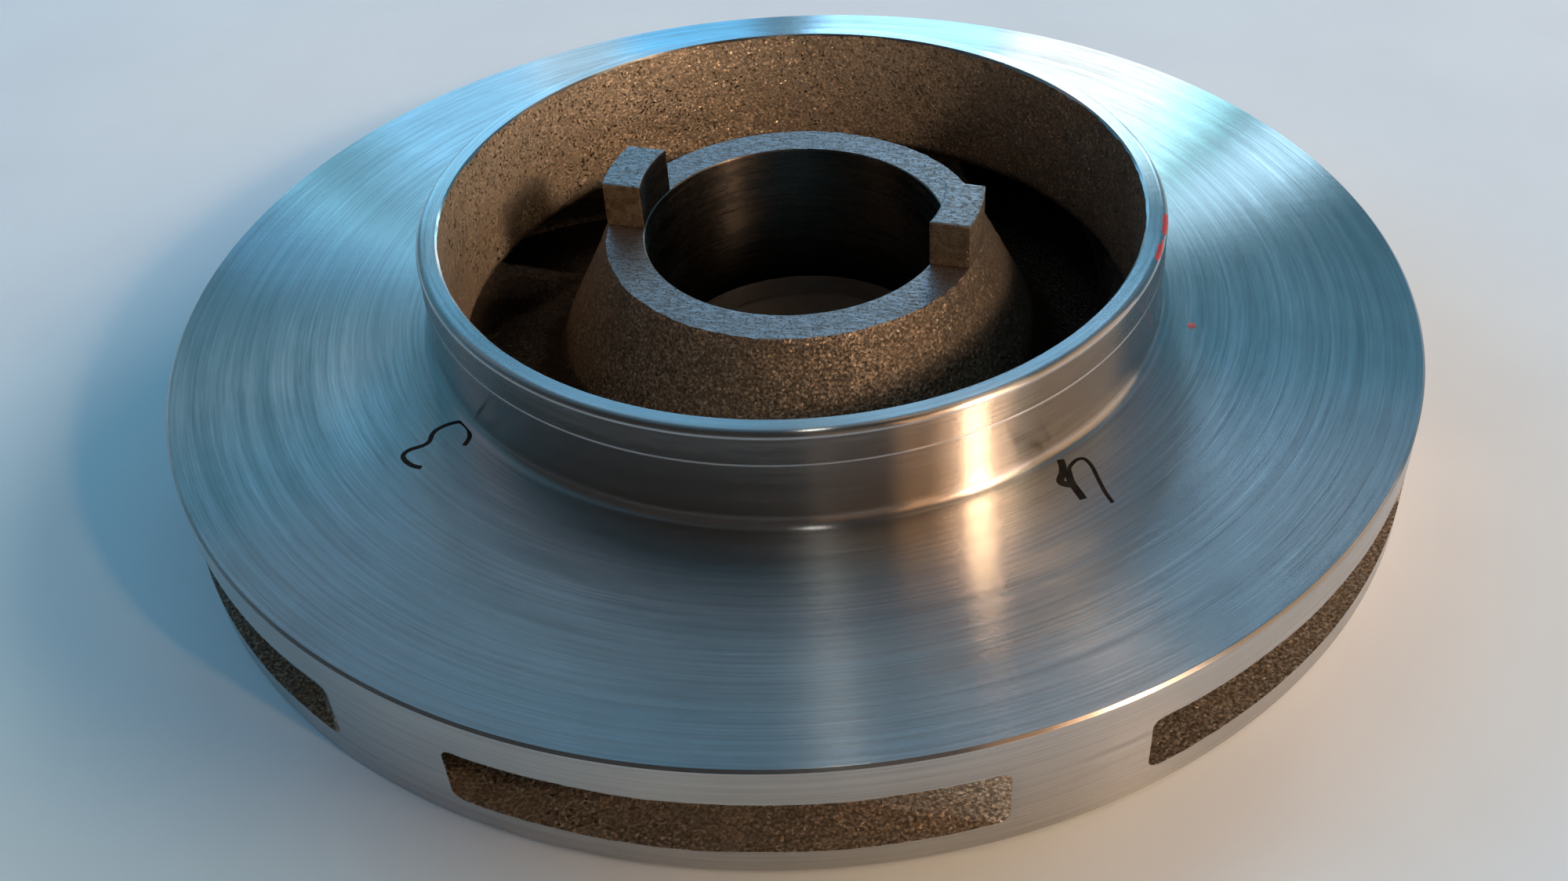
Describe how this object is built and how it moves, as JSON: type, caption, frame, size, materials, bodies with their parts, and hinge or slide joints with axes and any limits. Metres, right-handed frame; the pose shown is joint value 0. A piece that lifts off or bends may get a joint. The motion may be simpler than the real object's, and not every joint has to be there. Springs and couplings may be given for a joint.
{
  "type": "closed pump impeller",
  "caption": "Closed centrifugal pump impeller: two shrouds around backward-curved vanes, a raised suction neck, and a flared hub with a shaft bore and driving lugs.",
  "frame": {"origin": "centre of the back face, on the shaft axis, at the level the part lies on", "axes": "+Z along the shaft axis towards the suction eye; -Y towards the viewer of the picture"},
  "size_m": [0.165, 0.165, 0.0321],
  "materials": {
    "turned_metal": "fine turned satin, bare metal",
    "milled_metal": "straight milled satin, bare metal",
    "cast_skin": "sand-cast grain, brown skin"
  },
  "bodies": {
    "root": {"back_shroud": "turned_metal", "hub": "cast_skin", "drive_lug_left": "milled_metal", "drive_lug_right": "milled_metal", "vane_1": "cast_skin", "vane_2": "cast_skin", "vane_3": "cast_skin", "vane_4": "cast_skin", "vane_5": "cast_skin", "vane_6": "cast_skin", "vane_7": "cast_skin", "front_shroud": "turned_metal", "suction_neck": "turned_metal", "wear_land": "turned_metal"}
  },
  "joints": []
}
